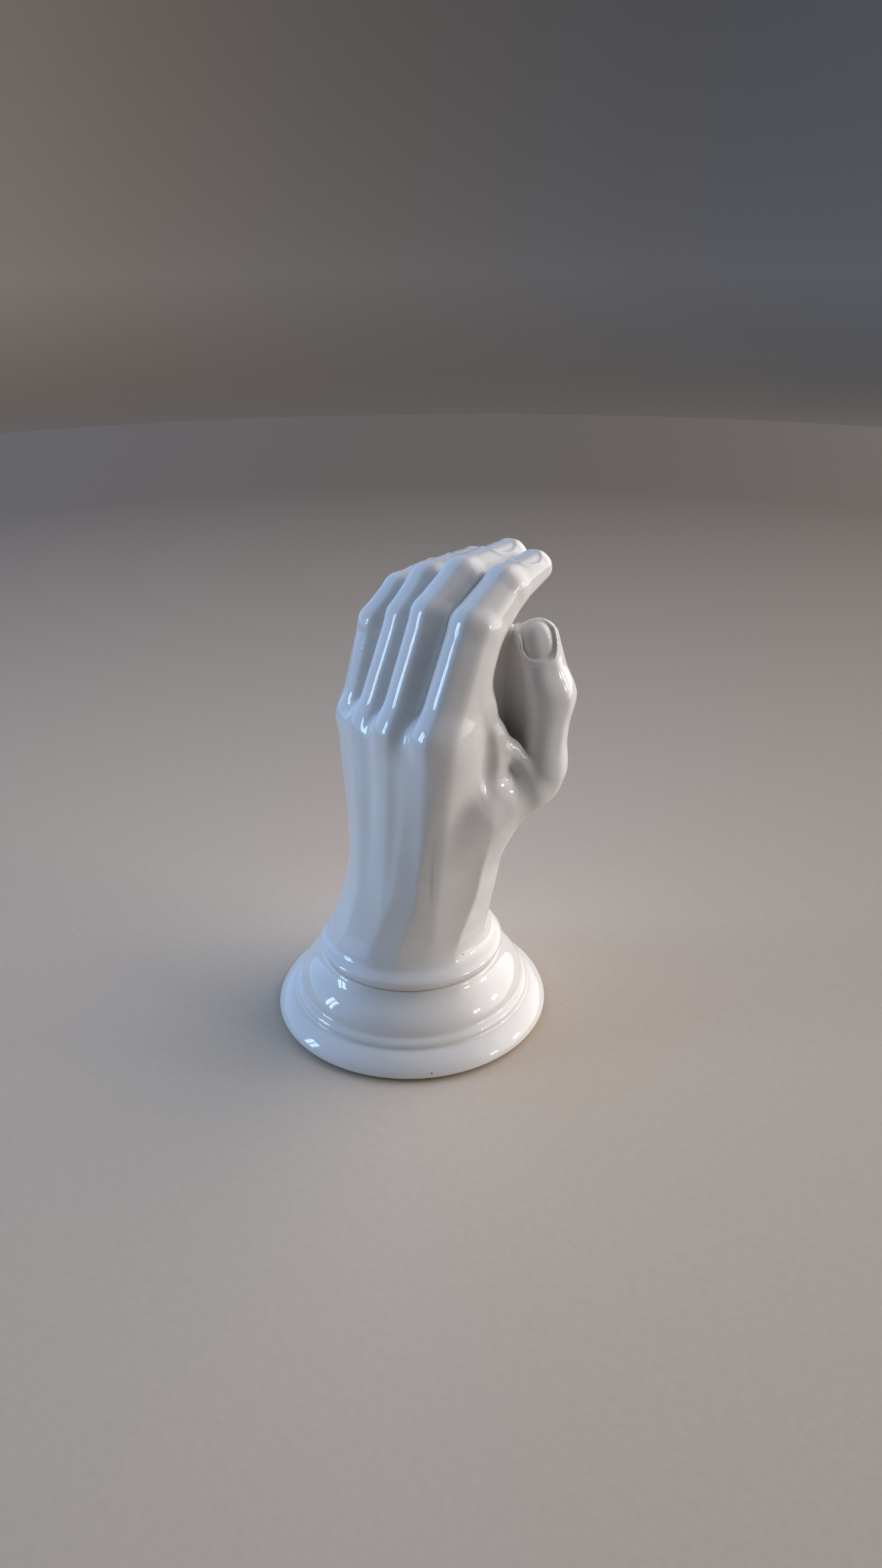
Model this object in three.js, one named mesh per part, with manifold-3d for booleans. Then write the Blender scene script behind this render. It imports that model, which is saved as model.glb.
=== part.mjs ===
// A glazed ceramic display hand: a hollow slip-cast left hand, luted by its collar to a hollow moulded foot,
// which stands on felt pads. Units are millimetres. +Z is up, the back of the hand faces -Y, the thumb is on
// the +X side, the fingers curl towards +Y, and the origin is on the table under the middle of the foot.

import * as THREE from "three";
import { mergeVertices } from "three/addons/utils/BufferGeometryUtils.js";
import Module from "manifold-3d";

const wasm = await Module();
wasm.setup();

// ---------- driving dimensions ----------

const FOOT_RADIUS = 59;
const JOINT_GAP = 0.3;
const WALL = 4.5;

const PAD_THICKNESS = 1.2;
const PAD_RADIUS = 8;
const PAD_RING_RADIUS = 47;
const PAD_COUNT = 4;

const FOOT_BOTTOM = PAD_THICKNESS + JOINT_GAP;
const FOOT_TOP = 30;
const COLLAR_BOTTOM = FOOT_TOP + JOINT_GAP;

const PALM_SIDES = 36;
const LIMB_SIDES = 14;
const LIMB_STEPS = 16;
const WEB_SIDES = 10;
const WEB_STEPS = 8;
const HOLLOW_SIDES = 10;
const HOLLOW_STEPS = 8;
const TIP_STEPS = 3;
const LATHE_SEGMENTS = 64;
const LIMB_POWER = 0.8;

// Wrist and palm: level sections as [height, centre x, centre y, half width, half depth, squareness, lean],
// where the lean raises the index side of the back of the hand above the little finger side.
const COLLAR_SECTIONS = [
  [COLLAR_BOTTOM, 0, 0, 38.3, 38.3, 2, 0],
  [31.2, 0.2, 0, 38.6, 38.6, 2, 0],
  [32.2, 0.3, 0, 39.3, 39.3, 2, 0],
  [33.4, 0.3, 0, 39.5, 39.5, 2, 0],
  [34.6, 0.3, 0, 38.9, 38.9, 2, 0],
  [35.8, 0.3, 0.1, 37.5, 37.4, 2, 0],
];
const PALM_SECTIONS = [
  [38.5, 0.1, 0.2, 35.6, 35.6, 2, 0],
  [46, 0.6, 0.8, 33.1, 32.4, 2, 0],
  [56, 2.2, 2.2, 32.2, 30.2, 2, 0],
  [68, 3.4, 3.4, 32.6, 28.6, 2.05, 0.01],
  [80, 3.6, 4, 33.2, 26.8, 2.1, 0.02],
  [92, 2.8, 4.2, 34.2, 24.8, 2.2, 0.04],
  [106, 1.6, 3.2, 36.6, 22, 2.35, 0.06],
  [118, 1, 2, 37.6, 19.8, 2.5, 0.08],
  [128, 1.4, 1.6, 36.4, 17.8, 2.5, 0.09],
  [136, 2, 2.2, 33.6, 14.6, 2.4, 0.1],
  [143, 3, 3.4, 29, 9.6, 2.2, 0.1],
];

// Fingers: stations from the palm to the tip as [centre x, y, z, half width, half depth].
const FINGERS = {
  index: [
    [26, -1, 100, 9, 12.5],
    [28.8, -4.6, 136.4, 10.5, 12.8],
    [27.6, 4.6, 156.1, 10.3, 12],
    [26.4, 13.8, 175.8, 10, 11.3],
    [25.4, 22.4, 181.9, 9.5, 10.2],
    [24.3, 31, 188, 9.1, 9.2],
    [23.4, 39.5, 190.3, 8.3, 8],
    [22.5, 48, 192.6, 7, 6.7],
  ],
  middle: [
    [8, -2, 100, 9, 12.5],
    [8.3, -6.8, 134, 10.4, 12.2],
    [8.2, 1.5, 155.6, 10.1, 11.2],
    [8, 9.8, 177.2, 9.8, 10.2],
    [7.9, 17.2, 183.4, 9.4, 9.5],
    [7.8, 24.7, 189.6, 9.1, 8.8],
    [7.7, 37, 191.8, 8.4, 7.7],
    [7.6, 49.4, 194, 7.1, 6.6],
  ],
  ring: [
    [-11.5, 0, 100, 8.8, 12],
    [-11.8, -3.4, 129.7, 10.3, 11.6],
    [-10.8, 4.1, 150.8, 9.9, 10.6],
    [-9.8, 11.6, 171.9, 9.5, 9.7],
    [-9.3, 16.6, 178.4, 9.1, 9],
    [-8.8, 21.7, 185, 8.8, 8.4],
    [-8.3, 33.3, 186.9, 8.2, 7.4],
    [-7.8, 45, 188.8, 7, 6.4],
  ],
  little: [
    [-26, 4, 100, 8.4, 10.5],
    [-29.8, 0.8, 127, 9.3, 10],
    [-28.2, 5.4, 146.7, 9.3, 9.4],
    [-26.6, 10, 166.5, 9.2, 8.7],
    [-25.3, 14.8, 172.5, 8.6, 8],
    [-24, 19.5, 178.6, 8, 7.4],
    [-23.2, 27.8, 181, 7.3, 6.6],
    [-22.4, 36, 183.4, 6.2, 5.9],
  ],
};

// Thumb, from the heel of the hand to the tip, and the muscle at its root.
const THUMB = [
  [12, 9, 74, 15, 15],
  [23, 18, 93, 14.4, 15.5],
  [32.5, 28.5, 106, 11.4, 13.2],
  [39.6, 36.4, 118, 8.9, 11.4],
  [39.9, 37.9, 132, 9.2, 11],
  [40.2, 39.4, 147, 9.4, 10.6],
  [38.9, 38.2, 158, 9, 9.4],
  [36.7, 36.2, 169.4, 8.4, 7.8],
];
const THENAR = [
  [16, 4, 82, 14, 14],
  [27, 12, 99, 14, 13.5],
  [34, 19, 111, 11, 11.5],
  [36.5, 23.5, 117.5, 8, 8.5],
];

// Skin between thumb and index finger: a fold down the side of the index finger, and the ridge that leaves
// it for the thumb.
const WEB_FOLD = [
  [27.5, 9, 158, 6.5, 6.5],
  [29.6, 11.2, 146.4, 7, 7],
  [31.4, 14.8, 134.5, 7, 7],
  [32.6, 16.2, 126, 7.4, 7.4],
  [30.5, 14, 110, 10, 10],
];
const WEB_RIDGE = [
  [33.4, 16.4, 132.5, 5, 5],
  [37, 21.8, 126.4, 5, 5],
  [39.6, 26.8, 119, 5.2, 5.2],
  [38, 30, 111, 7, 7],
];

// The gap between thumb and index finger is closed by two flat walls of clay that meet in a sharp crease.
const INDEX_WALL = [
  [21.5, 20, 108, 14, 4],
  [21.5, 21.5, 136, 14.5, 4],
  [23.5, 26.5, 168, 10, 4],
];
const THUMB_WALL = [
  [30.5, 36.5, 106, 10.5, 4.5],
  [30, 36, 168, 10, 4.5],
];
const ACROSS_FINGERS = new THREE.Vector3(1, 0, 0);
const ACROSS_THUMB = new THREE.Vector3(0.36, 0.933, 0);
const ACROSS_INDEX_WALL = new THREE.Vector3(0, 1, 0);

// ---------- materials ----------

function makeMaterial(name, color, roughness) {
  return new THREE.MeshStandardMaterial({ name, color, roughness, metalness: 0 });
}

const glaze = makeMaterial("white_glaze", 0xebe8e4, 0.12);
const felt = makeMaterial("felt", 0x4b4846, 0.95);

// ---------- solids and booleans ----------

function toSolid(geometry) {
  const plain = geometry.clone();
  plain.deleteAttribute("normal");
  plain.deleteAttribute("uv");
  const merged = mergeVertices(plain, 1e-4);
  return new wasm.Manifold(new wasm.Mesh({
    numProp: 3,
    vertProperties: new Float32Array(merged.attributes.position.array),
    triVerts: new Uint32Array(merged.index.array),
  }));
}

function toGeometry(solid) {
  const mesh = solid.getMesh();
  const geometry = new THREE.BufferGeometry();
  geometry.setAttribute("position", new THREE.BufferAttribute(mesh.vertProperties, 3));
  geometry.setIndex(new THREE.BufferAttribute(mesh.triVerts, 1));
  geometry.computeVertexNormals();
  return geometry;
}

function uniteAll(solids) {
  return solids.reduce((whole, solid) => whole.add(solid));
}

// The outer skin of a solid, with any pockets sealed inside it filled.
function fillPockets(solid) {
  return solid.decompose().reduce((largest, shell) => (shell.volume() > largest.volume() ? shell : largest));
}

// Closes a stack of rings, each with the same number of points running anticlockwise, into one solid.
function loft(rings) {
  const sides = rings[0].length;
  const points = rings.flat();
  const firstPole = points.length;
  const lastPole = firstPole + 1;
  for (const ring of [rings[0], rings.at(-1)]) {
    points.push(ring.reduce((sum, p) => sum.add(p), new THREE.Vector3()).divideScalar(sides));
  }
  const faces = [];
  const lastRing = (rings.length - 1) * sides;
  for (let side = 0; side < sides; side += 1) {
    const next = (side + 1) % sides;
    faces.push(firstPole, next, side);
    faces.push(lastPole, lastRing + side, lastRing + next);
    for (let ring = 0; ring < rings.length - 1; ring += 1) {
      const low = ring * sides;
      const high = low + sides;
      faces.push(low + side, low + next, high + next);
      faces.push(low + side, high + next, high + side);
    }
  }
  const geometry = new THREE.BufferGeometry().setFromPoints(points);
  geometry.setIndex(faces);
  return toSolid(geometry);
}

// A cosine or sine raised so that a round section becomes a little square.
function squared(value, power) {
  return Math.sign(value) * Math.abs(value) ** power;
}

// ---------- hand ----------

function levelRing([height, x, y, halfWidth, halfDepth, squareness, lean], inset) {
  const power = 2 / squareness;
  return Array.from({ length: PALM_SIDES }, (_, side) => {
    const angle = (2 * Math.PI * side) / PALM_SIDES;
    const right = (halfWidth - inset) * squared(Math.cos(angle), power);
    const back = (halfDepth - inset) * squared(Math.sin(angle), power);
    return new THREE.Vector3(x + right, y + back - lean * right, height);
  });
}

// A tapering tube with a round tip, swept along smooth stations and made smaller all round by the inset.
function limb(stations, across, inset, sides, steps) {
  const spots = stations.map(([x, y, z]) => new THREE.Vector3(x, y, z));
  const spans = stations.map(([, , , width, depth]) => new THREE.Vector3(width - inset, depth - inset, 0));
  const centres = new THREE.CatmullRomCurve3(spots, false, "centripetal");
  const sizes = new THREE.CatmullRomCurve3(spans, false, "centripetal");
  const ringAt = (t, shrink, forward) => {
    const centre = centres.getPoint(t);
    const tangent = centres.getTangent(t);
    const back = new THREE.Vector3().crossVectors(tangent, across).normalize();
    const side = new THREE.Vector3().crossVectors(back, tangent).normalize();
    const size = sizes.getPoint(t);
    centre.addScaledVector(tangent, forward * size.y);
    return Array.from({ length: sides }, (_, i) => {
      const angle = (2 * Math.PI * (i + 0.5)) / sides;
      return centre.clone()
        .addScaledVector(side, squared(Math.cos(angle), LIMB_POWER) * size.x * shrink)
        .addScaledVector(back, squared(Math.sin(angle), LIMB_POWER) * size.y * shrink);
    });
  };
  const rings = [];
  for (let step = 0; step <= steps; step += 1) {
    rings.push(ringAt(step / steps, 1, 0));
  }
  for (let step = 1; step <= TIP_STEPS; step += 1) {
    const angle = (step / (TIP_STEPS + 0.35)) * (Math.PI / 2);
    rings.push(ringAt(1, Math.cos(angle), Math.sin(angle)));
  }
  return loft(rings);
}

// The limbs that are hollow: the fingers, the thumb and the muscle at its root.
function hollowLimbs(inset, sides, steps) {
  const fingers = Object.values(FINGERS).map((finger) => limb(finger, ACROSS_FINGERS, inset, sides, steps));
  const thumb = limb(THUMB, ACROSS_THUMB, inset, sides, steps);
  const thenar = limb(THENAR, ACROSS_THUMB, inset, sides, WEB_STEPS);
  return [...fingers, thumb, thenar];
}

// The solid clay between thumb and index finger.
function webbing() {
  return [
    limb(WEB_FOLD, ACROSS_FINGERS, 0, WEB_SIDES, WEB_STEPS),
    limb(WEB_RIDGE, ACROSS_FINGERS, 0, WEB_SIDES, WEB_STEPS),
    limb(INDEX_WALL, ACROSS_INDEX_WALL, 0, WEB_SIDES, WEB_STEPS),
    limb(THUMB_WALL, ACROSS_FINGERS, 0, WEB_SIDES, WEB_STEPS),
  ];
}

// The casting is hollow into the fingers, and its hollow opens through the seat under the collar.
function makeHand() {
  const palm = loft([...COLLAR_SECTIONS, ...PALM_SECTIONS].map((section) => levelRing(section, 0)));
  const outside = fillPockets(uniteAll([palm, ...hollowLimbs(0, LIMB_SIDES, LIMB_STEPS), ...webbing()]));
  const mouth = [COLLAR_BOTTOM - 1, 0, 0, 38.3, 38.3, 2, 0];
  const hollowPalm = loft([mouth, ...PALM_SECTIONS.slice(0, -1)].map((section) => levelRing(section, WALL)));
  const hollow = uniteAll([hollowPalm, ...hollowLimbs(WALL, HOLLOW_SIDES, HOLLOW_STEPS)]);
  return toGeometry(outside.subtract(hollow));
}

// ---------- foot ----------

// Half section of the foot as [radius, height], up the outside from the rim and back down the inside.
const FOOT_SECTION = [
  // rounded rim and lower tier
  [57.6, FOOT_BOTTOM], [58.7, 1.9], [FOOT_RADIUS, 2.7], [58.8, 3.6], [58.2, 4.8], [57.2, 6.1], [56, 7.3],
  [54.4, 8.6], [52.6, 9.7], [51.3, 10.4],
  // bead between the tiers
  [50.9, 11], [51.1, 11.8], [50.7, 12.8], [49.8, 13.7], [48.9, 14.4],
  // upper tier
  [48.4, 15.2], [48.3, 16.2], [48.1, 17.2], [47.6, 18.3], [46.7, 19.8], [45.5, 21.4], [44, 23], [42.3, 24.7],
  [40.8, 26.3], [39.7, 27.8],
  // seat for the hand's collar
  [39.1, 28.9], [38.6, 29.5], [38.3, FOOT_TOP], [33.8, FOOT_TOP],
  // inside wall, bottom flange and drain hole
  [34.2, 26.4], [38.5, 20.5], [42.5, 14.5], [45.5, 9.5], [49, 7], [49, 5.5], [36, 5.5], [36, FOOT_BOTTOM],
];

function makeFoot() {
  const closed = [...FOOT_SECTION, FOOT_SECTION[0]];
  const section = closed.map(([radius, height]) => new THREE.Vector2(radius, height));
  const turned = new THREE.LatheGeometry(section, LATHE_SEGMENTS).rotateX(Math.PI / 2);
  return toGeometry(toSolid(turned));
}

// ---------- pads ----------

function makePad() {
  const rim = 0.3;
  const section = [
    [0, 0], [PAD_RADIUS - rim, 0], [PAD_RADIUS, rim], [PAD_RADIUS, PAD_THICKNESS], [0, PAD_THICKNESS],
  ].map(([radius, height]) => new THREE.Vector2(radius, height));
  return new THREE.LatheGeometry(section, 28).rotateX(Math.PI / 2);
}

// ---------- assembly ----------

const displayHand = new THREE.Group();

function addPart(name, geometry, material) {
  const mesh = new THREE.Mesh(geometry, material);
  mesh.name = name;
  displayHand.add(mesh);
  return mesh;
}

addPart("hand", makeHand(), glaze);
addPart("foot", makeFoot(), glaze);
for (let i = 0; i < PAD_COUNT; i += 1) {
  const angle = (2 * Math.PI * i) / PAD_COUNT;
  const pad = addPart(`felt_pad_${i + 1}`, makePad(), felt);
  pad.position.set(PAD_RING_RADIUS * Math.cos(angle), PAD_RING_RADIUS * Math.sin(angle), 0);
}

export default displayHand;
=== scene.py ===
"""The looks of a glazed ceramic display hand: a hollow left hand on a round moulded foot, with felt pads.

The hand is worked out as a smooth distance field, in millimetres, and turned into a fine mesh in metres.
Directions: +Z is up, the back of the hand faces -Y, the palm faces +Y and the thumb is on the +X side.
"""

import math

import bpy
import numpy as np
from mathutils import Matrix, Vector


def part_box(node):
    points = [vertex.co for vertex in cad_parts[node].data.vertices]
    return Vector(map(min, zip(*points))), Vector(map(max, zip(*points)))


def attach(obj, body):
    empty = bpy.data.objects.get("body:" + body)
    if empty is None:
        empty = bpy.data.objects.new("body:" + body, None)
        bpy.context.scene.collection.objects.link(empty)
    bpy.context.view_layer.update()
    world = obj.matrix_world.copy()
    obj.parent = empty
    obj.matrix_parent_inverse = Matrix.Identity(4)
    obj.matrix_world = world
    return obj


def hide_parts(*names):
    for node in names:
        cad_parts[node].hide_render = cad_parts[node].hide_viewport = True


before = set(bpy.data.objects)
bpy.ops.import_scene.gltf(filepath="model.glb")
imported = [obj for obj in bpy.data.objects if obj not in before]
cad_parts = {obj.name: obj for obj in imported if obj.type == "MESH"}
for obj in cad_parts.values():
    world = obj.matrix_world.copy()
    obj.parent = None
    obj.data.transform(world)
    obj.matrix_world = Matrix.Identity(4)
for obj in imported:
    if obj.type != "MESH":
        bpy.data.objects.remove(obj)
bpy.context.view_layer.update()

import openvdb
from mathutils import Matrix, Vector

# ---------- driving dimensions, in millimetres ----------

MM = 0.001
STEP = 0.6
FAR = 8.0
FIELD_LOW = np.array([-48.0, -46.0, 26.0])
FIELD_HIGH = np.array([58.0, 62.0, 206.0])

FOOT_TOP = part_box("foot")[1].z / MM
FOOT_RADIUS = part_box("foot")[1].x / MM
SEAT_GAP = 0.1
COLLAR_BOTTOM = FOOT_TOP + SEAT_GAP
COLLAR_EDGE_BLEND = 0.6
WALL = 4.5
HOLLOW_TOP = 126.0
HOLLOW_BLEND = 4.0
RELAX_ROUNDS = 3

X_AXIS = np.array([1.0, 0.0, 0.0])
ACROSS_THUMB = np.array([0.36, 0.933, 0.0])
Y_AXIS = np.array([0.0, 1.0, 0.0])

# Collar, wrist and palm: level sections as (height, centre x, centre y, half width, half depth, squareness,
# lean), where the lean raises the index side of the back of the hand above the little finger side.
PALM_SECTIONS = [
    (26.0, 0.0, 0.0, 38.2, 38.2, 2.0, 0.0),
    (30.2, 0.1, 0.0, 38.2, 38.2, 2.0, 0.0),
    (31.2, 0.2, 0.0, 38.7, 38.7, 2.0, 0.0),
    (32.3, 0.3, 0.0, 39.3, 39.3, 2.0, 0.0),
    (33.5, 0.3, 0.0, 39.5, 39.5, 2.0, 0.0),
    (34.6, 0.3, 0.0, 38.9, 38.9, 2.0, 0.0),
    (35.7, 0.4, 0.1, 37.6, 37.5, 2.0, 0.0),
    (37.0, -0.2, -0.2, 36.0, 36.0, 2.0, 0.0),
    (40.0, -0.6, -0.4, 34.6, 34.6, 2.0, 0.0),
    (46.0, 0.2, 0.5, 33.6, 32.9, 2.0, 0.0),
    (56.0, 2.0, 2.3, 33.0, 31.2, 2.0, 0.0),
    (68.0, 3.8, 3.8, 33.0, 29.0, 2.05, 0.01),
    (80.0, 3.6, 4.0, 33.2, 26.8, 2.1, 0.02),
    (92.0, 2.8, 4.2, 34.2, 24.8, 2.2, 0.04),
    (106.0, 1.6, 3.2, 36.6, 22.0, 2.35, 0.06),
    (118.0, 1.0, 2.0, 37.2, 19.8, 2.45, 0.08),
    (128.0, 1.8, 1.6, 35.6, 18.2, 2.5, 0.09),
    (138.0, 3.2, 2.4, 33.2, 15.6, 2.5, 0.10),
    (150.0, 2.0, 5.0, 34.0, 12.0, 2.6, 0.10),
]
PALM_TOP = 138.0
PALM_TOP_SLOPE = 0.14
PALM_TOP_BLEND = 8.0
PALM_WINDOW_HIGH = (58, 62, 156)
PALM_BLEND = 6.0

# Soft edges that run down the back of the hand: the azimuth of each at a few heights, from -Y towards +X.
EDGE_HEIGHTS = [36, 48, 80, 106, 128]
EDGE_AZIMUTHS = [
    [-42, -40, -44, -48, -54],
    [-10, -8, -15, -17, -22],
    [20, 19, 24, 27, 29],
    [41, 40, 40, 46, 55],
    [82, 85, 96, 104, 106],
    [118, 120, 126, 130, 130],
]
EDGE_STRENGTH = [0.0, 0.8, 1.0, 0.8, 0.15]
EDGE_BLEND = 0.02

# Fingers: centres of the root in the palm, the knuckle, the two joints and the fingertip,
# each with its half width and half depth.
FINGERS = {
    "index": [
        ((21.0, -8.0, 48.0), (6.0, 8.0)),
        ((28.8, -4.6, 136.4), (10.0, 12.8)),
        ((26.4, 13.8, 175.8), (9.5, 11.3)),
        ((24.3, 31.0, 188.0), (8.6, 9.2)),
        ((22.5, 48.0, 192.6), (7.0, 6.7)),
    ],
    "middle": [
        ((9.0, -15.0, 52.0), (6.0, 8.0)),
        ((8.3, -6.8, 134.0), (9.9, 12.2)),
        ((8.0, 9.8, 177.2), (9.3, 10.2)),
        ((7.8, 24.7, 189.6), (8.6, 8.8)),
        ((7.6, 49.4, 194.0), (7.1, 6.6)),
    ],
    "ring": [
        ((-4.0, -14.0, 52.0), (6.0, 8.0)),
        ((-11.8, -3.4, 129.7), (9.8, 11.6)),
        ((-9.8, 11.6, 171.9), (9.0, 9.7)),
        ((-8.8, 21.7, 185.0), (8.3, 8.4)),
        ((-7.8, 45.0, 188.8), (7.0, 6.4)),
    ],
    "little": [
        ((-14.0, -6.0, 60.0), (6.0, 7.0)),
        ((-29.8, 1.2, 128.0), (8.6, 9.8)),
        ((-26.6, 10.0, 166.5), (8.7, 8.7)),
        ((-24.0, 19.5, 178.6), (7.5, 7.4)),
        ((-22.4, 36.0, 183.4), (6.2, 5.9)),
    ],
}
THUMB_SIDE_CORNER = 1.40
FAR_SIDE_CORNER = 1.58
CORNER_BLEND = 0.12
KNUCKLE_BLEND = 5.0
JOINT_BLEND = 1.4
GROOVE_BLEND = 1.0
ROOT_BLEND = 9.0
THUMB_BLEND = 2.0
THENAR_BLEND = 16.0
GROOVE_TOP = 150.0
GROOVE_FOOT = 122.0
THUMB_FREE = 123.0
THUMB_MELTED = 104.0

THUMB = [
    ((12.0, 9.0, 78.0), (15.0, 15.0)),
    ((21.6, 16.6, 94.5), (14.0, 15.0)),
    ((39.6, 36.4, 118.0), (8.9, 11.4)),
    ((40.2, 39.4, 147.0), (9.4, 10.6)),
    ((36.5, 35.9, 169.6), (8.6, 7.8)),
]
THENAR = [
    ((16.0, 4.0, 84.0), (14.0, 14.0)),
    ((29.0, 13.0, 105.0), (12.5, 12.0)),
    ((32.0, 18.0, 109.0), (8.5, 9.0)),
]
# The fold of skin down the side of the index finger, and the ridge that leaves it for the thumb.
WEB_FOLD = [
    ((28.5, 9.0, 158.0), (6.0, 6.0)),
    ((30.3, 11.2, 146.4), (6.0, 6.0)),
    ((32.4, 14.8, 134.5), (5.8, 5.8)),
    ((33.0, 15.2, 126.0), (6.6, 6.6)),
    ((30.5, 13.6, 110.0), (9.0, 9.0)),
]
WEB_RIDGE = [
    ((33.4, 16.2, 133.0), (4.8, 4.8)),
    ((37.4, 21.4, 127.0), (4.0, 4.0)),
    ((40.2, 26.4, 120.0), (4.0, 4.0)),
    ((39.0, 30.0, 112.0), (6.0, 6.0)),
]
# The clay between thumb and index finger closes the gap with two flat walls that meet in a sharp crease.
INDEX_WALL = [
    ((21.5, 20.0, 108.0), (14.0, 4.0)),
    ((21.5, 21.5, 136.0), (14.5, 4.0)),
    ((24.5, 28.0, 171.0), (6.5, 4.0)),
]
THUMB_WALL = [
    ((30.0, 35.5, 113.0), (8.5, 4.5)),
    ((30.2, 35.4, 168.5), (7.5, 4.5)),
]
# What joins the palm, in this order: stations, the direction across, the blend between its own bones, and
# the blend into what is there already.
WEB_PARTS = [
    (INDEX_WALL, Y_AXIS, 4.0, 2.5),
    (THUMB_WALL, X_AXIS, 4.0, 1.2),
    (WEB_FOLD, X_AXIS, 4.0, 4.0),
    (WEB_RIDGE, X_AXIS, 4.0, 2.5),
]
THUMB_BONE_BLEND = 5.0
THENAR_BONE_BLEND = 6.0
THENAR_PALM_BLEND = 7.0

# Nails: the middle of each, the way it faces, the way the finger points, half sizes, how far the plate sinks
# and how far the skin round it rises.
NAILS = [
    ((41.6, 31.6, 171.6), (0.83, -0.47, 0.30), (-0.38, 0.12, 0.92), (6.2, 7.8), 0.8, 0.9),
    ((22.9, 42.0, 199.0), (0, -0.17, 0.98), (0, 1, 0.1), (5.2, 6.0), 0.35, 0.35),
    ((7.6, 43.5, 200.5), (0, -0.10, 0.99), (0, 1, 0.1), (5.2, 6.0), 0.35, 0.35),
    ((-8.0, 39.5, 195.0), (0, -0.10, 0.99), (0, 1, 0.1), (5.0, 5.6), 0.35, 0.35),
    ((-22.7, 30.6, 189.2), (0, -0.15, 0.98), (0, 1, 0.1), (4.3, 5.0), 0.30, 0.30),
]
NAIL_SQUARENESS = 2.8
# The bump over the thumb's joint and the dimple beside its root: the middle, the spread and the height.
SPOTS = [
    ((42.6, 29.4, 154.2), (4.0, 3.5, 4.5), 1.0),
    ((40.4, 20.6, 125.5), (2.6, 2.6, 4.4), -1.1),
]

# Foot: the outline from the lower edge up to the seat of the hand, as (radius, height).
FOOT_OUTLINE = [
    (57.6, 1.5), (58.7, 1.9), (59.0, 2.7), (58.8, 3.6), (58.2, 4.8), (57.2, 6.1), (56.0, 7.3),
    (54.4, 8.6), (52.6, 9.7), (51.3, 10.3), (50.9, 11.0), (51.1, 11.8), (50.7, 12.8), (49.8, 13.7),
    (48.9, 14.3), (48.4, 15.2), (48.3, 16.2), (48.1, 17.2), (47.6, 18.3), (46.7, 19.8), (45.5, 21.4),
    (44.0, 23.0), (42.3, 24.7), (40.8, 26.3), (39.7, 27.8), (39.1, 29.0), (38.4, 29.7), (37.4, 29.95),
]
FOOT_INSIDE = [
    (33.8, 30.0), (34.2, 26.4), (38.5, 20.5), (42.5, 14.5), (45.5, 9.5), (49.0, 7.0), (49.0, 5.5),
    (36.0, 5.5), (36.0, 1.5),
]
FOOT_SEGMENTS = 320
CURVE_STEPS = 5


# ---------- distance fields ----------


def smooth_min(a, b, blend):
    """The smaller of two distances, rounded over where they lie within blend of each other."""
    h = np.clip(blend - np.abs(a - b), 0, None) / blend
    return np.minimum(a, b) - h * h * blend * 0.25


def smooth_max(a, b, blend):
    """The larger of two distances, rounded over in the same way."""
    return -smooth_min(-a, -b, blend)


def smooth_step(start, stop, value):
    """Runs smoothly from 0 at start to 1 at stop, which may lie on either side of it."""
    t = np.clip((value - start) / (stop - start), 0, 1)
    return t * t * (3 - 2 * t)


def unit(v):
    """The same direction, with length 1."""
    return v / np.linalg.norm(v)


class Field:
    """A regular grid of signed distances. Shapes are merged into it one at a time, each in its own window."""

    def __init__(self, low, high, step):
        self.low = low
        self.step = step
        self.axes = [np.arange(a, b, step, dtype=np.float32) for a, b in zip(low, high)]
        self.values = np.full([len(a) for a in self.axes], FAR, np.float32)

    def window(self, low, high):
        """The part of the grid between two corners, as slices and as coordinates."""
        spans = [slice(*np.searchsorted(a, (p, q))) for a, p, q in zip(self.axes, low, high)]
        points = [
            a[s].reshape([-1 if i == k else 1 for i in range(3)])
            for k, (a, s) in enumerate(zip(self.axes, spans))
        ]
        return tuple(spans), points

    def merge(self, shape, low, high, blend):
        """Joins a shape on. The blend is a number, or a function of place."""
        spans, points = self.window(low, high)
        if callable(blend):
            blend = blend(*points)
        self.values[spans] = smooth_min(self.values[spans], shape(*points), blend)


def bone(start, end, start_size, end_size, across, squareness=2.5):
    """A tapering length of finger with rounded ends, a little square in section, with its corners off."""
    start, end = np.array(start, float), np.array(end, float)
    along = unit(end - start)
    palmar = unit(np.cross(along, across))
    side = np.cross(palmar, along)
    length = float(np.linalg.norm(end - start))

    def distance(x, y, z):
        dx, dy, dz = x - start[0], y - start[1], z - start[2]
        t = dx * along[0] + dy * along[1] + dz * along[2]
        h = np.clip(t / length, 0, 1)
        width = start_size[0] + (end_size[0] - start_size[0]) * h
        depth = start_size[1] + (end_size[1] - start_size[1]) * h
        u = (dx * side[0] + dy * side[1] + dz * side[2]) / width
        corner = FAR_SIDE_CORNER + (THUMB_SIDE_CORNER - FAR_SIDE_CORNER) * smooth_step(-0.3, 0.3, u)
        u = np.abs(u)
        v = np.abs(dx * palmar[0] + dy * palmar[1] + dz * palmar[2]) / depth
        w = np.abs(t - h * length) / (0.5 * (width + depth))
        flat = (u**squareness + v**squareness) ** (1 / squareness)
        flat = smooth_max(flat, (u + v) / corner, CORNER_BLEND)
        norm = np.sqrt(flat * flat + w * w)
        return (norm - 1) * np.minimum(width, depth)

    return distance


def chain(stations, across, first_blend, blend):
    """Bones end to end, blended at the joints. Returns the distance function and the corners of its box."""
    bones = [
        bone(a, b, size_a, size_b, across)
        for (a, size_a), (b, size_b) in zip(stations, stations[1:])
    ]

    def distance(x, y, z):
        whole = bones[0](x, y, z)
        for k, part in enumerate(bones[1:]):
            whole = smooth_min(whole, part(x, y, z), blend if k else first_blend)
        return whole

    centres = np.array([c for c, _ in stations])
    reach = max(max(size) for _, size in stations) + FAR
    return distance, centres.min(0) - reach, centres.max(0) + reach


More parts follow.
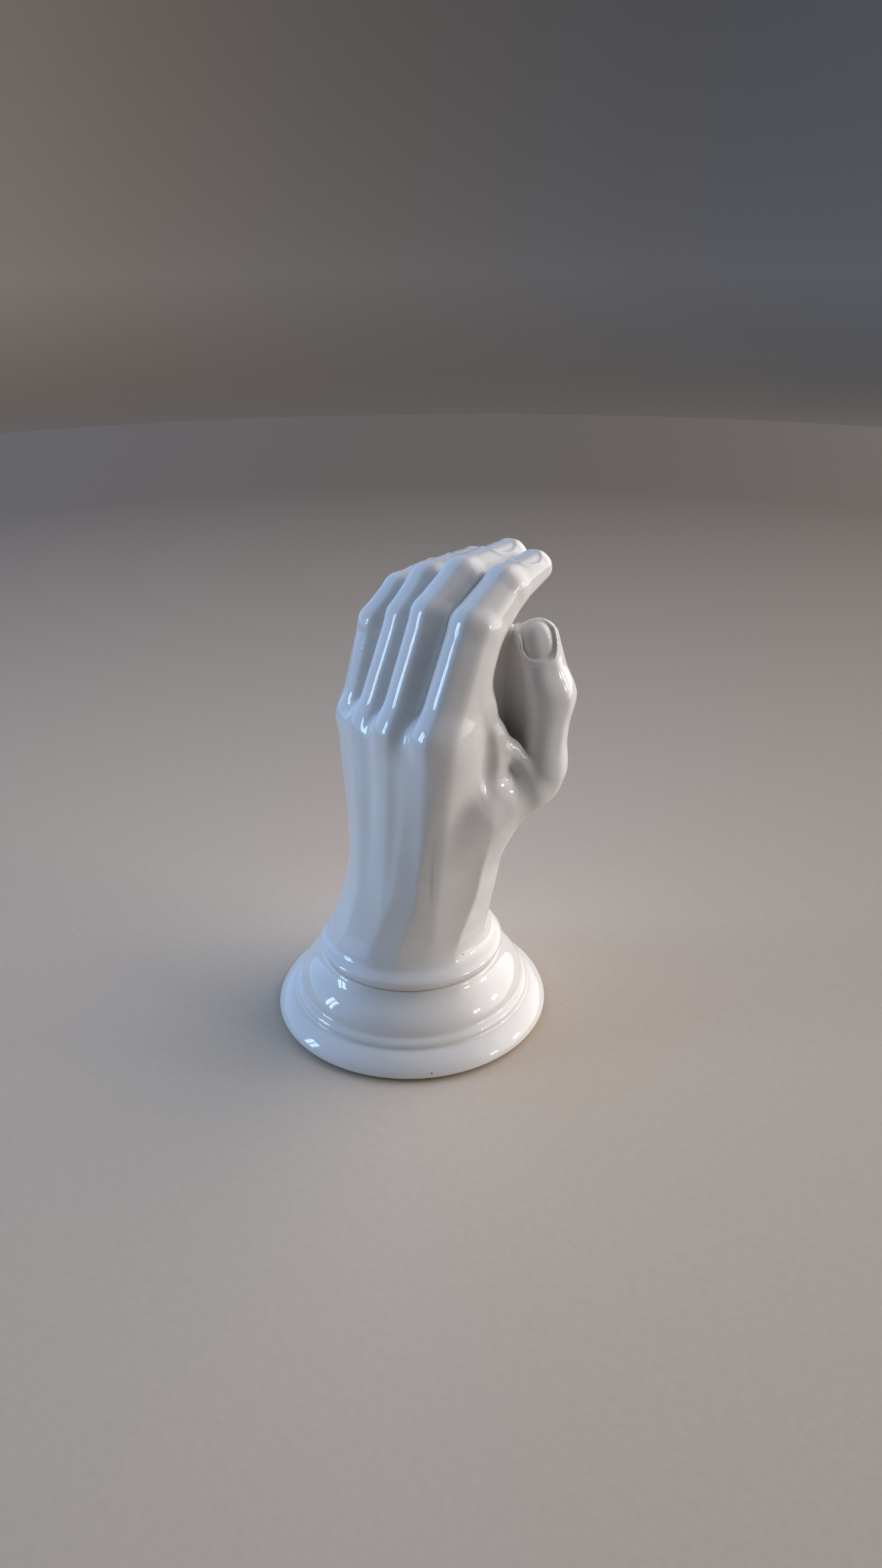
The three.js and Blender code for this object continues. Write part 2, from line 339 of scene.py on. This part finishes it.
def smooth_columns(table, at):
    """Each column of the table, run smoothly (cubic Hermite) through its rows, at the wanted heights."""
    rows = np.array(table, float)
    heights = rows[:, 0]
    slopes = np.gradient(rows, heights, axis=0)
    k = np.clip(np.searchsorted(heights, at) - 1, 0, len(heights) - 2)
    gap = heights[k + 1] - heights[k]
    t = np.clip((at - heights[k]) / gap, 0, 1)[:, None]
    gap = gap[:, None]
    values = (
        (2 * t**3 - 3 * t**2 + 1) * rows[k]
        + (t**3 - 2 * t**2 + t) * gap * slopes[k]
        + (3 * t**2 - 2 * t**3) * rows[k + 1]
        + (t**3 - t**2) * gap * slopes[k + 1]
    )
    return values.astype(np.float32)


def faceting(azimuth, z):
    """How far in the flats between the soft edges lie, as a share of the section's own radius."""
    heights = z.ravel()
    share = np.full(np.broadcast_shapes(azimuth.shape, z.shape), 1.2, np.float32)
    edges = [np.radians(np.interp(heights, EDGE_HEIGHTS, row)) for row in EDGE_AZIMUTHS]
    for first, second in zip(edges, edges[1:]):
        middle = ((first + second) / 2).reshape(1, 1, -1).astype(np.float32)
        half = ((second - first) / 2).reshape(1, 1, -1).astype(np.float32)
        across = np.maximum(np.cos(azimuth - middle), 0.2)
        share = smooth_min(share, np.cos(half) / across, EDGE_BLEND)
    strength = np.interp(heights, EDGE_HEIGHTS, EDGE_STRENGTH).reshape(1, 1, -1).astype(np.float32)
    return 1 + strength * (np.minimum(share, 1.0) - 1)


def palm_shape(x, y, z):
    """Collar, wrist and palm, closed by a slope above the knuckles."""
    columns = smooth_columns(PALM_SECTIONS, z.ravel())
    _, cx, cy, width, depth, power, lean = (columns[:, i].reshape(1, 1, -1) for i in range(7))
    dx = x - cx
    dy = y - cy + lean * dx
    norm = (np.abs(dx / width) ** power + np.abs(dy / depth) ** power) ** (1 / power)
    norm = norm / faceting(np.arctan2(dx / width, -dy / depth), z)
    radial = np.sqrt(dx * dx + dy * dy)
    body = radial * (1 - 1 / np.maximum(norm, 1e-3))
    top = z - PALM_TOP - PALM_TOP_SLOPE * x
    return smooth_max(body, top, PALM_TOP_BLEND)


def groove_blend(x, y, z):
    """Fingers meet in sharp grooves above the knuckles and melt together below them."""
    return GROOVE_BLEND + (ROOT_BLEND - GROOVE_BLEND) * smooth_step(GROOVE_TOP, GROOVE_FOOT, z)


def thumb_blend(x, y, z):
    """The thumb stands clear of the walls beside it, and its root melts into the palm."""
    return THUMB_BLEND + (THENAR_BLEND - THUMB_BLEND) * smooth_step(THUMB_FREE, THUMB_MELTED, z)


def build_hand_field():
    """The solid hand: fingers, palm, the walls and folds beside the thumb, and the thumb itself."""
    field = Field(FIELD_LOW, FIELD_HIGH, STEP)
    for stations in FINGERS.values():
        field.merge(*chain(stations, X_AXIS, KNUCKLE_BLEND, JOINT_BLEND), groove_blend)
    field.merge(palm_shape, FIELD_LOW, PALM_WINDOW_HIGH, PALM_BLEND)
    for stations, across, bone_blend, blend in WEB_PARTS:
        field.merge(*chain(stations, across, bone_blend, bone_blend), blend)
    field.merge(*chain(THUMB, ACROSS_THUMB, THUMB_BONE_BLEND, THUMB_BONE_BLEND), thumb_blend)
    thenar = chain(THENAR, ACROSS_THUMB, THENAR_BONE_BLEND, THENAR_BONE_BLEND)
    field.merge(*thenar, THENAR_PALM_BLEND)
    return field


def raise_spot(field, centre, spread, height):
    """Raises a soft round spot on the surface, or sinks one where the height is negative."""
    centre = np.array(centre, float)
    reach = 3 * max(spread)
    spans, points = field.window(centre - reach, centre + reach)
    squares = sum(((p - c) / r) ** 2 for p, c, r in zip(points, centre, spread))
    field.values[spans] -= height * np.exp(-0.5 * squares)


def add_nail(field, centre, outward, forward, size, sink, fold):
    """Sinks a nail plate into the back of a fingertip, and raises the skin round its sides and root."""
    outward = unit(np.array(outward, float))
    forward = np.array(forward, float)
    forward = unit(forward - outward * forward.dot(outward))
    aside = np.cross(forward, outward)
    centre = np.array(centre, float)
    reach = 2.2 * max(size)
    spans, points = field.window(centre - reach, centre + reach)
    offset = [p - c for p, c in zip(points, centre)]
    u, v, w = (sum(o * k for o, k in zip(offset, axis)) for axis in (aside, forward, outward))
    power = NAIL_SQUARENESS
    edge = ((np.abs(u) / size[0]) ** power + (np.abs(v) / size[1]) ** power) ** (1 / power)
    facing = smooth_step(-6.0, -3.0, w)
    plate = 1 - smooth_step(0.90, 1.02, edge)
    skin = np.exp(-(((edge - 1.17) / 0.11) ** 2)) * (1 - smooth_step(0.35, 0.85, v / size[1]))
    field.values[spans] += facing * (sink * plate - fold * skin)


def add_details(field):
    """The nails, and the spots beside the thumb's joints."""
    for nail in NAILS:
        add_nail(field, *nail)
    for spot in SPOTS:
        raise_spot(field, *spot)


def hollow_out(field):
    """Leaves a wall round the wrist and palm, open at the collar."""
    z = field.axes[2].reshape(1, 1, -1)
    inside = smooth_max(field.values + WALL, z - HOLLOW_TOP, HOLLOW_BLEND)
    field.values = np.maximum(field.values, -inside)
    field.values = smooth_max(field.values, COLLAR_BOTTOM - z, COLLAR_EDGE_BLEND)


# ---------- meshes ----------


def mesh_from_field(field):
    """The points and four-sided faces of the field's surface."""
    grid = openvdb.FloatGrid()
    grid.background = FAR
    grid.copyFromArray(np.clip(field.values, -FAR, FAR))
    points, quads = grid.convertToQuads(isovalue=0.0)
    return points * field.step + field.low, quads


def relax(points, quads, rounds):
    """Taubin smoothing, which takes the grid's fine steps off without shrinking the shape."""
    edges = np.concatenate([quads[:, [i, (i + 1) % 4]] for i in range(4)])
    count = np.bincount(edges.ravel(), minlength=len(points)).astype(float)[:, None]
    for _ in range(rounds):
        for factor in (0.5, -0.53):
            total = np.stack(
                [
                    np.bincount(edges[:, 0], points[edges[:, 1], k], len(points))
                    + np.bincount(edges[:, 1], points[edges[:, 0], k], len(points))
                    for k in range(3)
                ],
                axis=1,
            )
            points = points + factor * (total / count - points)
    return points


def make_object(name, points, faces, materials):
    """A smooth-shaded mesh from points in millimetres and four-sided faces."""
    points = np.asarray(points, np.float32) * MM
    faces = np.asarray(faces, np.int32)
    mesh = bpy.data.meshes.new(name)
    mesh.vertices.add(len(points))
    mesh.vertices.foreach_set("co", points.ravel())
    mesh.loops.add(faces.size)
    mesh.loops.foreach_set("vertex_index", faces.ravel())
    mesh.polygons.add(len(faces))
    mesh.polygons.foreach_set("loop_start", np.arange(0, faces.size, 4, dtype=np.int32))
    mesh.update(calc_edges=True)
    mesh.shade_smooth()
    for material in materials:
        mesh.materials.append(material)
    piece = bpy.data.objects.new(name, mesh)
    bpy.context.scene.collection.objects.link(piece)
    return piece


def declare(piece, node):
    """Hangs the piece on the root body and hides the imported part of the node it replaces."""
    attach(piece, "root")
    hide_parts(node)
    return piece


# ---------- materials ----------


class Nodes:
    """A short way to write a material's node tree."""

    def __init__(self, name):
        self.material = bpy.data.materials.new(name)
        self.material.use_nodes = True
        self.tree = self.material.node_tree
        self.shader = self.tree.nodes["Principled BSDF"]
        self.place = self.add("ShaderNodeTexCoord").outputs["Object"]

    def add(self, kind, inputs=None, **settings):
        node = self.tree.nodes.new(kind)
        for key, value in settings.items():
            setattr(node, key, value)
        for key, value in (inputs or {}).items():
            if isinstance(value, bpy.types.NodeSocket):
                self.tree.links.new(value, node.inputs[key])
            else:
                node.inputs[key].default_value = value
        return node

    def noise(self, size, detail=2.0, roughness=0.5):
        """Noise whose features are about size millimetres across."""
        scale = 1 / (size * MM)
        inputs = {"Vector": self.place, "Scale": scale, "Detail": detail, "Roughness": roughness}
        return self.add("ShaderNodeTexNoise", inputs).outputs["Fac"]

    def between(self, value, low, high, to_low=0.0, to_high=1.0):
        """Stretches the value from one range to another, and holds it at the ends."""
        inputs = {"Value": value, "From Min": low, "From Max": high, "To Min": to_low, "To Max": to_high}
        return self.add("ShaderNodeMapRange", inputs).outputs["Result"]

    def mix(self, share, first, second, blend="MIX"):
        node = self.add("ShaderNodeMix", data_type="RGBA", blend_type=blend)
        for socket, value in ((node.inputs[0], share), (node.inputs[6], first), (node.inputs[7], second)):
            if isinstance(value, bpy.types.NodeSocket):
                self.tree.links.new(value, socket)
            else:
                socket.default_value = value
        return node.outputs[2]

    def math(self, operation, first, second):
        node = self.add("ShaderNodeMath", operation=operation)
        for socket, value in zip(node.inputs, (first, second)):
            if isinstance(value, bpy.types.NodeSocket):
                self.tree.links.new(value, socket)
            else:
                socket.default_value = value
        return node.outputs[0]

    def bump(self, height, depth, below=None):
        """Bump whose full height stands for depth millimetres."""
        inputs = {"Height": height, "Distance": depth * MM, "Strength": 1.0}
        if below:
            inputs["Normal"] = below
        return self.add("ShaderNodeBump", inputs).outputs["Normal"]

    def link(self, value, socket):
        self.tree.links.new(value, self.shader.inputs[socket])


def white_glaze():
    """Shiny warm-white glaze: faint cloudiness, orange peel, and a few dark pinholes."""
    n = Nodes("white_glaze")
    n.shader.inputs["IOR"].default_value = 1.55
    n.shader.inputs["Specular IOR Level"].default_value = 0.55
    clouds = n.between(n.noise(22, 3), 0.35, 0.65)
    color = n.mix(clouds, (0.74, 0.722, 0.70, 1), (0.775, 0.765, 0.75, 1))
    specks = n.add("ShaderNodeTexVoronoi", {"Vector": n.place, "Scale": 1 / (14 * MM), "Randomness": 1.0})
    chosen = n.between(specks.outputs["Color"], 0.62, 0.63)
    core = n.between(specks.outputs["Distance"], 0.018, 0.034, 1.0, 0.0)
    pinhole = n.math("MULTIPLY", chosen, core)
    n.link(n.mix(pinhole, color, (0.10, 0.075, 0.06, 1)), "Base Color")
    n.link(n.between(n.noise(9, 3), 0.3, 0.7, 0.045, 0.085), "Roughness")
    peel = n.bump(n.noise(9, 2), 0.10)
    n.link(n.bump(n.noise(2.2, 2), 0.008, peel), "Normal")
    return n.material


def bare_clay():
    """The unglazed cream ring that the foot was fired on."""
    n = Nodes("bare_clay")
    color = n.mix(n.between(n.noise(3, 4), 0.35, 0.65), (0.50, 0.41, 0.30, 1), (0.62, 0.54, 0.43, 1))
    n.link(color, "Base Color")
    n.link(n.between(n.noise(1.5, 3), 0.3, 0.7, 0.75, 0.92), "Roughness")
    n.link(n.bump(n.noise(0.5, 4, 0.7), 0.08), "Normal")
    return n.material


def grey_felt():
    """Pressed grey felt: fibres as fine stretched noise, with a soft sheen."""
    n = Nodes("grey_felt")
    fibres = n.noise(0.35, 5, 0.75)
    tufts = n.noise(2.5, 3)
    share = n.math("ADD", n.math("MULTIPLY", fibres, 0.6), n.math("MULTIPLY", tufts, 0.4))
    share = n.between(share, 0.35, 0.65)
    n.link(n.mix(share, (0.10, 0.095, 0.09, 1), (0.24, 0.23, 0.21, 1)), "Base Color")
    n.shader.inputs["Roughness"].default_value = 0.95
    n.shader.inputs["Sheen Weight"].default_value = 0.5
    n.shader.inputs["Sheen Roughness"].default_value = 0.6
    n.link(n.bump(fibres, 0.25), "Normal")
    return n.material


GLAZE = white_glaze()
CLAY = bare_clay()
FELT = grey_felt()


# ---------- the pieces ----------


def make_hand():
    """The hollow casting of hand, wrist and collar."""
    field = build_hand_field()
    add_details(field)
    hollow_out(field)
    points, quads = mesh_from_field(field)
    points = relax(points, quads, RELAX_ROUNDS)
    return declare(make_object("hand_casting", points, quads, [GLAZE]), "hand")


def smooth_outline(points, steps):
    """A curve (Catmull-Rom) through the points, with this many steps from each to the next."""
    p = np.array(points, float)
    p = np.vstack([2 * p[0] - p[1], p, 2 * p[-1] - p[-2]])
    t = (np.arange(steps) / steps)[:, None]
    made = []
    for a, b, c, d in zip(p, p[1:], p[2:], p[3:]):
        bend = 2 * a - 5 * b + 4 * c - d
        twist = 3 * b - a - 3 * c + d
        made.append(0.5 * (2 * b + (c - a) * t + bend * t**2 + twist * t**3))
    return np.vstack([*made, p[-2]])


def spin(outline, segments):
    """Points and quads of a ring turned from a closed outline, anticlockwise in (radius, height)."""
    turns = np.arange(segments) * 2 * math.pi / segments
    r, z = outline[:, 0], outline[:, 1]
    points = np.stack(
        [np.outer(np.cos(turns), r), np.outer(np.sin(turns), r), np.tile(z, (segments, 1))], axis=2
    ).reshape(-1, 3)
    count = len(outline)
    i, j = np.meshgrid(np.arange(segments), np.arange(count), indexing="ij")
    across = (i + 1) % segments
    up = (j + 1) % count
    quads = np.stack([i * count + j, across * count + j, across * count + up, i * count + up], axis=2)
    return points, quads.reshape(-1, 4)


def make_foot():
    """The hollow round foot. Its glazed outside ends at the bare clay of the rim, flange and inside."""
    outer = smooth_outline(FOOT_OUTLINE, CURVE_STEPS)
    outline = np.vstack([outer, FOOT_INSIDE])
    points, quads = spin(outline, FOOT_SEGMENTS)
    foot = make_object("foot_casting", points, quads, [GLAZE, CLAY])
    count = len(outline)
    rim = np.array([k % count >= len(outer) - 1 or k % count < 2 for k in range(len(quads))])
    foot.data.polygons.foreach_set("material_index", rim.astype(np.int32))
    return declare(foot, "foot")


PAD_COUNT = 4
PAD_SEGMENTS = 72
PAD_LEVELS = 9
PAD_EDGE_INSET = 0.25
PAD_EDGE_BULGE = 0.22
PAD_RAGGEDNESS = 0.05
PAD_UNEVENNESS = 0.03
PAD_INNER_RINGS = (0.8, 0.5, 0.2)


def make_pad(number):
    """A disc of felt with a soft, slightly ragged edge."""
    node = f"felt_pad_{number}"
    low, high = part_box(node)
    centre = (low + high) / 2 / MM
    radius = (high.x - low.x) / 2 / MM
    thick = (high.z - low.z) / MM
    rng = np.random.default_rng(number)
    segments = PAD_SEGMENTS
    turns = np.arange(segments) * 2 * math.pi / segments
    rings = []
    for k in range(PAD_LEVELS):
        a = math.pi * k / (PAD_LEVELS - 1)
        bulge = radius - PAD_EDGE_INSET + PAD_EDGE_BULGE * math.sin(a)
        ragged = bulge + rng.normal(0, PAD_RAGGEDNESS, segments)
        z = thick * (0.5 - 0.5 * math.cos(a))
        rings.append(np.stack([np.cos(turns) * ragged, np.sin(turns) * ragged, np.full(segments, z)], axis=1))
    for share in PAD_INNER_RINGS:
        inner = np.stack([np.cos(turns) * radius * share, np.sin(turns) * radius * share], axis=1)
        top = thick - np.abs(rng.normal(0, PAD_UNEVENNESS, segments))
        bottom = np.abs(rng.normal(0, PAD_UNEVENNESS, segments))
        rings.append(np.column_stack([inner, top]))
        rings.insert(0, np.column_stack([inner, bottom]))
    points = np.vstack([*rings, [[0, 0, thick]], [[0, 0, 0.0]]])
    points += np.array([centre.x, centre.y, 0])
    faces = []
    for k in range(len(rings) - 1):
        for i in range(segments):
            j = (i + 1) % segments
            faces.append((k * segments + i, k * segments + j, (k + 1) * segments + j, (k + 1) * segments + i))
    top_ring = (len(rings) - 1) * segments
    faces += [(top_ring + i, top_ring + (i + 1) % segments, len(points) - 2) for i in range(segments)]
    faces += [((i + 1) % segments, i, len(points) - 1) for i in range(segments)]
    mesh = bpy.data.meshes.new(f"felt_disc_{number}")
    mesh.from_pydata([tuple(p * MM) for p in points], [], faces)
    mesh.shade_smooth()
    mesh.materials.append(FELT)
    pad = bpy.data.objects.new(f"felt_disc_{number}", mesh)
    bpy.context.scene.collection.objects.link(pad)
    return declare(pad, node)


make_hand()
make_foot()
for pad_number in range(1, PAD_COUNT + 1):
    make_pad(pad_number)


# ---------- floor, light and camera ----------

STAGE_FLAT = 1.6
STAGE_REACH = 2.2
STAGE_RISE = 1.3
STAGE_SEGMENTS = 64
RISE_STEPS = 12


def pale_paper():
    """Pale warm paper with painted shade that darkens it away from the object, and painted light that
    lightens it again where it turns up.
    """
    n = Nodes("paper")
    place = n.add("ShaderNodeSeparateXYZ", {0: n.place}).outputs
    away = n.add("ShaderNodeVectorMath", {0: n.place}, operation="LENGTH").outputs["Value"]
    # Painted shade: the paper goes from warm near-white to dark brown with distance from the middle. Painted
    # light then lightens it again as the backdrop rises.
    shade = n.math("POWER", n.between(away, 0.0, 1.05), 0.6)
    painted_falloff = n.mix(shade, (0.70, 0.60, 0.49, 1), (0.160, 0.125, 0.086, 1))
    painted_falloff = n.mix(n.between(place["Z"], 0.0, 0.2), painted_falloff, (0.34, 0.30, 0.26, 1))
    grain = n.between(n.noise(3, 4), 0.3, 0.7, 0.97, 1.03)
    grey = n.add("ShaderNodeCombineColor", {0: grain, 1: grain, 2: grain}).outputs[0]
    n.link(n.mix(1.0, painted_falloff, grey, "MULTIPLY"), "Base Color")
    n.shader.inputs["Roughness"].default_value = 0.7
    return n.material


def round_sheet(name, outline, material):
    """A sheet turned about the middle from an outline of (radius, height), in metres."""
    turns = [2 * math.pi * k / STAGE_SEGMENTS for k in range(STAGE_SEGMENTS)]
    points = [(r * math.cos(a), r * math.sin(a), z) for r, z in outline for a in turns]
    faces = []
    for ring in range(len(outline) - 1):
        for k in range(STAGE_SEGMENTS):
            a = ring * STAGE_SEGMENTS + k
            b = ring * STAGE_SEGMENTS + (k + 1) % STAGE_SEGMENTS
            faces.append((a, a + STAGE_SEGMENTS, b + STAGE_SEGMENTS, b))
    mesh = bpy.data.meshes.new(name)
    mesh.from_pydata(points, [], faces)
    mesh.shade_smooth()
    mesh.materials.append(material)
    sheet = bpy.data.objects.new(name, mesh)
    bpy.context.scene.collection.objects.link(sheet)
    return sheet


def make_stage():
    """A round floor of pale paper that turns up far behind the object on every side."""
    paper = pale_paper()
    round_sheet("floor", [(r, 0.0) for r in (0.0005, 0.1, 0.3, 0.6, 1.0, STAGE_FLAT)], paper)
    angles = [math.pi / 2 * k / RISE_STEPS for k in range(RISE_STEPS + 1)]
    rise = [
        (STAGE_FLAT + (STAGE_REACH - STAGE_FLAT) * math.sin(a), STAGE_RISE * (1 - math.cos(a)))
        for a in angles
    ]
    backdrop = round_sheet("backdrop", rise, paper)
    backdrop.visible_diffuse = False
    backdrop.visible_glossy = False
    backdrop.visible_shadow = False


# The camera stands at an azimuth round the object, at a distance and height that follow the foot's size.
CAMERA_AZIMUTH = math.radians(50)
CAMERA_PITCH = math.radians(26.41)
CAMERA_PAN = math.radians(1.81)
CAMERA_ROLL = math.radians(-0.51)
CAMERA_DISTANCE = 7.348
CAMERA_HEIGHT = 5.446
LENS = 27.06


def make_camera():
    """A camera turned by pan, pitch and roll from the level line towards the object's axis."""
    data = bpy.data.cameras.new("camera")
    data.lens = LENS
    data.sensor_width = 36.0
    data.clip_start = 0.01
    camera = bpy.data.objects.new("camera", data)
    bpy.context.scene.collection.objects.link(camera)
    a = CAMERA_AZIMUTH
    place = Vector((math.sin(a), -math.cos(a), 0)) * CAMERA_DISTANCE * FOOT_RADIUS * MM
    place.z = CAMERA_HEIGHT * FOOT_RADIUS * MM
    ahead = Vector((-math.sin(a), math.cos(a), 0))
    right = Vector((math.cos(a), math.sin(a), 0))
    level = ahead * math.cos(CAMERA_PAN) + right * math.sin(CAMERA_PAN)
    across = right * math.cos(CAMERA_PAN) - ahead * math.sin(CAMERA_PAN)
    forward = level * math.cos(CAMERA_PITCH) - Vector((0, 0, 1)) * math.sin(CAMERA_PITCH)
    up = across.cross(forward)
    tilted = across * math.cos(CAMERA_ROLL) + up * math.sin(CAMERA_ROLL)
    upright = up * math.cos(CAMERA_ROLL) - across * math.sin(CAMERA_ROLL)
    turn = Matrix((tilted, upright, -forward)).transposed()
    camera.matrix_world = Matrix.Translation(place) @ turn.to_4x4()
    bpy.context.scene.camera = camera


def direction(azimuth, elevation):
    """The way to something at this azimuth, from -Y towards +X, and this height, in degrees."""
    a, e = math.radians(azimuth), math.radians(elevation)
    return Vector((math.sin(a) * math.cos(e), -math.cos(a) * math.cos(e), math.sin(e)))


AIM = Vector((0, 0, 0.1))
LAMP_DISTANCE = 1.5
COOL = (0.58, 0.82, 1.0)
WARM = (1.0, 0.97, 0.94)
# Window panes, each made twice, side by side: azimuth, elevation, size, radiance, color and half the spacing.
PANES = {
    "left": (-38, 14, (0.11, 0.56), 11, COOL, 0.075),
    "right": (116, 16, (0.06, 0.16), 26, WARM, 0.05),
    "far": (140, 14, (0.06, 0.16), 26, WARM, 0.05),
}
# The sky's dim base, and its bright lobes: the way to each, where it starts and is full, and its color.
SKY_BASE = (0.045, 0.041, 0.038, 1)
SKY_LOBES = [
    (direction(-66, 15), 0.3, 1.0, (0.62, 0.94, 1.58, 1)),
    (direction(156, 15), 0.5, 1.0, (3.10, 2.95, 2.95, 1)),
]


def soft_box(name, azimuth, elevation, size, radiance, color, shift):
    """A flat lamp that faces the object. Radiance is its brightness, whatever its size."""
    data = bpy.data.lights.new(name, "AREA")
    data.shape = "RECTANGLE"
    data.size, data.size_y = size
    data.energy = radiance * math.pi * size[0] * size[1]
    data.color = color
    light = bpy.data.objects.new(name, data)
    toward = direction(azimuth, elevation)
    aside = toward.cross(Vector((0, 0, 1))).normalized()
    light.location = AIM + toward * LAMP_DISTANCE + aside * shift
    light.rotation_euler = toward.to_track_quat("Z", "Y").to_euler()
    light.visible_camera = False
    bpy.context.scene.collection.objects.link(light)


def make_lights():
    """The panes, and a world that is brighter towards each lobe."""
    for side in (-1, 1):
        for name, (*pane, half_spacing) in PANES.items():
            soft_box(f"{name}_pane_{side}", *pane, half_spacing * side)
    world = bpy.data.worlds.new("studio")
    bpy.context.scene.world = world
    world.use_nodes = True
    tree = world.node_tree
    place = tree.nodes.new("ShaderNodeTexCoord").outputs["Generated"]
    background = tree.nodes["Background"]
    total = None
    for toward, start, stop, color in SKY_LOBES:
        dot = tree.nodes.new("ShaderNodeVectorMath")
        dot.operation = "DOT_PRODUCT"
        tree.links.new(place, dot.inputs[0])
        dot.inputs[1].default_value = toward
        ramp = tree.nodes.new("ShaderNodeMapRange")
        ramp.interpolation_type = "SMOOTHSTEP"
        tree.links.new(dot.outputs["Value"], ramp.inputs["Value"])
        ramp.inputs["From Min"].default_value = start
        ramp.inputs["From Max"].default_value = stop
        add = tree.nodes.new("ShaderNodeMix")
        add.data_type = "RGBA"
        add.blend_type = "ADD"
        tree.links.new(ramp.outputs["Result"], add.inputs[0])
        if total is None:
            add.inputs[6].default_value = SKY_BASE
        else:
            tree.links.new(total, add.inputs[6])
        add.inputs[7].default_value = color
        total = add.outputs[2]
    tree.links.new(total, background.inputs["Color"])
    background.inputs["Strength"].default_value = 1.0


bpy.context.scene.view_settings.view_transform = "Standard"
make_stage()
make_camera()
make_lights()
